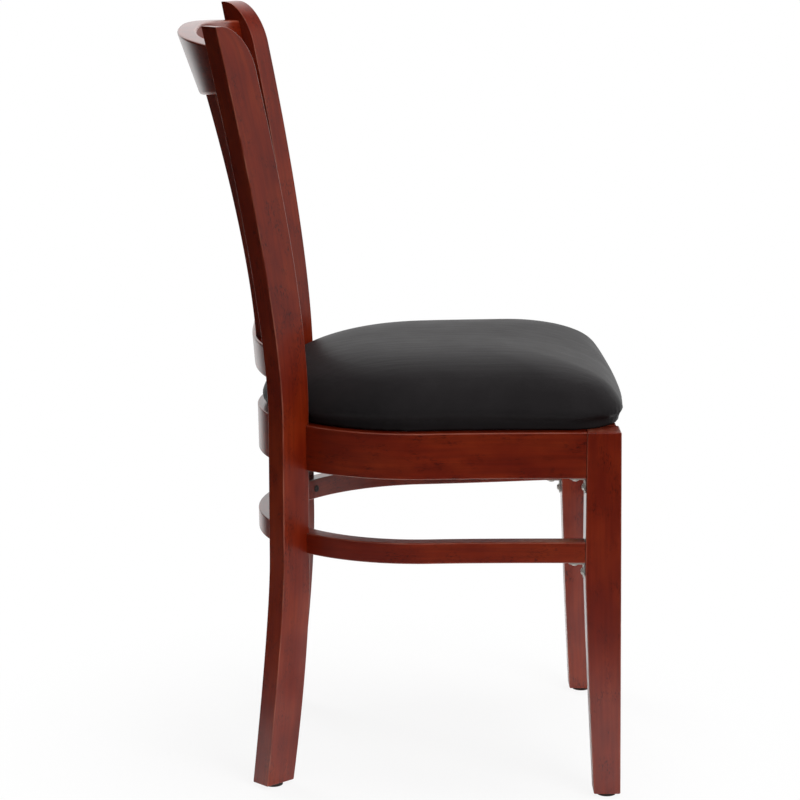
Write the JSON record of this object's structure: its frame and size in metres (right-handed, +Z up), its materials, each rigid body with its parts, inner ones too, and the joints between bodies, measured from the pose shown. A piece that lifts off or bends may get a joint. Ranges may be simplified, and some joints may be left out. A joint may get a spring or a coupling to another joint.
{
  "type": "dining chair",
  "caption": "Slat back restaurant chair with bowed radial posts, bentwood seat and stretcher hoops, bent back rails and a crowned vinyl seat.",
  "frame": {"origin": "on the floor under the middle of the chair's box", "axes": "+Z up; the sitter faces -Y and +X is on the sitter's left"},
  "size_m": [0.4646, 0.5079, 0.87],
  "materials": {
    "stained_beech": "mahogany stain under semi-gloss lacquer",
    "bare_beech": "bare",
    "plywood": "bare",
    "black_vinyl": "smooth black vinyl with a soft sheen",
    "seat_foam": "open-cell polyurethane foam",
    "black_nonwoven": "black non-woven sheet",
    "zinc_plated_steel": "zinc plated",
    "grey_polypropylene": "matte"
  },
  "bodies": {
    "root": {"back_slat_1": "stained_beech", "back_slat_2": "stained_beech", "back_slat_3": "stained_beech", "back_slat_4": "stained_beech", "back_slat_5": "stained_beech", "corner_block_screw_left_front": "zinc_plated_steel", "corner_block_screw_left_side": "zinc_plated_steel", "corner_block_screw_right_front": "zinc_plated_steel", "corner_block_screw_right_side": "zinc_plated_steel", "dust_cover": "black_nonwoven", "floor_glide_front_left": "grey_polypropylene", "floor_glide_front_right": "grey_polypropylene", "floor_glide_rear_left": "grey_polypropylene", "floor_glide_rear_right": "grey_polypropylene", "front_corner_block_left": "bare_beech", "front_corner_block_right": "bare_beech", "front_leg_left": "stained_beech", "front_leg_right": "stained_beech", "front_rail_dowel_left_lower": "bare_beech", "front_rail_dowel_left_upper": "bare_beech", "front_rail_dowel_right_lower": "bare_beech", "front_rail_dowel_right_upper": "bare_beech", "front_seat_rail": "stained_beech", "lower_back_rail": "stained_beech", "rear_post_left": "stained_beech", "rear_post_right": "stained_beech", "rear_seat_block_left": "bare_beech", "rear_seat_block_right": "bare_beech", "seat_board": "plywood", "seat_cover": "black_vinyl", "seat_foam": "seat_foam", "seat_hoop": "stained_beech", "seat_hoop_bracket_left": "zinc_plated_steel", "seat_hoop_bracket_right": "zinc_plated_steel", "seat_hoop_bracket_screw_left_lower": "zinc_plated_steel", "seat_hoop_bracket_screw_left_upper": "zinc_plated_steel", "seat_hoop_bracket_screw_right_lower": "zinc_plated_steel", "seat_hoop_bracket_screw_right_upper": "zinc_plated_steel", "seat_hoop_screw_left_lower": "zinc_plated_steel", "seat_hoop_screw_left_upper": "zinc_plated_steel", "seat_hoop_screw_right_lower": "zinc_plated_steel", "seat_hoop_screw_right_upper": "zinc_plated_steel", "seat_screw_front_left": "zinc_plated_steel", "seat_screw_front_right": "zinc_plated_steel", "seat_screw_rear_left": "zinc_plated_steel", "seat_screw_rear_right": "zinc_plated_steel", "stretcher_bracket_left": "zinc_plated_steel", "stretcher_bracket_right": "zinc_plated_steel", "stretcher_bracket_screw_left_lower": "zinc_plated_steel", "stretcher_bracket_screw_left_upper": "zinc_plated_steel", "stretcher_bracket_screw_right_lower": "zinc_plated_steel", "stretcher_bracket_screw_right_upper": "zinc_plated_steel", "stretcher_hoop": "stained_beech", "stretcher_screw_left": "zinc_plated_steel", "stretcher_screw_right": "zinc_plated_steel", "top_rail": "stained_beech"}
  },
  "joints": []
}
